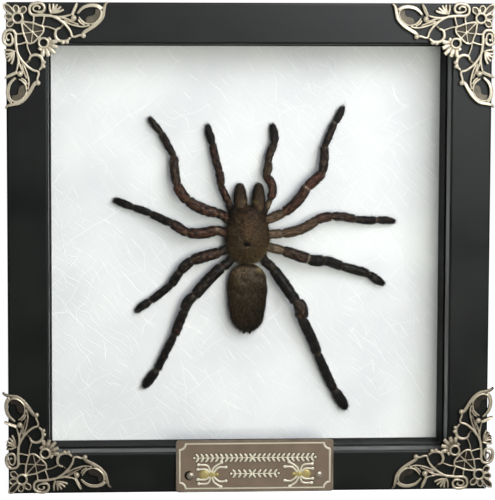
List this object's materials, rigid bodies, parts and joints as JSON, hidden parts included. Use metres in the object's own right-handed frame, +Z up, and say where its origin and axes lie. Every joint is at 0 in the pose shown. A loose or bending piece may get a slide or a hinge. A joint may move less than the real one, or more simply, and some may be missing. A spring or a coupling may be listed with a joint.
{
  "type": "framed tarantula specimen",
  "caption": "Large dried tarantula spread on white embossed paper behind glass, in a square black wooden shadow box with filigree metal corners and a blank metal plate.",
  "frame": {"origin": "on the floor plane under the middle of the whole object, where the frame stands on its lower rail", "axes": "+Z up, the glass and the spider's back face -Y, +X to the viewer's right"},
  "size_m": [0.2056, 0.0346, 0.2036],
  "materials": {
    "black_paint": "black satin paint on moulded wood",
    "clear_glass": "clear float glass",
    "black_board": "matt black cardboard strip",
    "embossed_paper": "white paper embossed with fine creased fibres",
    "brown_board": "bare brown fibreboard",
    "antique_silver": "cast alloy with antique silver plating, dark in the recesses",
    "antique_brass": "aged brown brass with a worn bright border",
    "brass_nail": "domed brass",
    "zinc_steel": "zinc-plated pressed steel",
    "body_cuticle": "dry brown cuticle with short olive and golden hair",
    "limb_cuticle": "dry red-brown to black cuticle with dense dark hair"
  },
  "bodies": {
    "root": {"abdomen": "body_cuticle", "back_panel": "brown_board", "carapace": "body_cuticle", "chelicera_left": "body_cuticle", "chelicera_right": "body_cuticle", "corner_bottom_left": "antique_silver", "corner_bottom_right": "antique_silver", "corner_top_left": "antique_silver", "corner_top_right": "antique_silver", "glass": "clear_glass", "hanger_nail_left": "zinc_steel", "hanger_nail_right": "zinc_steel", "leg_left_1": "limb_cuticle", "leg_left_2": "limb_cuticle", "leg_left_3": "limb_cuticle", "leg_left_4": "limb_cuticle", "leg_right_1": "limb_cuticle", "leg_right_2": "limb_cuticle", "leg_right_3": "limb_cuticle", "leg_right_4": "limb_cuticle", "mount_board": "embossed_paper", "nameplate": "antique_brass", "nameplate_nail_left": "brass_nail", "nameplate_nail_right": "brass_nail", "palp_left": "limb_cuticle", "palp_right": "limb_cuticle", "rail_bottom": "black_paint", "rail_left": "black_paint", "rail_right": "black_paint", "rail_top": "black_paint", "sawtooth_hanger": "zinc_steel", "spacer_bottom": "black_board", "spacer_left": "black_board", "spacer_right": "black_board", "spacer_top": "black_board"}
  },
  "joints": []
}
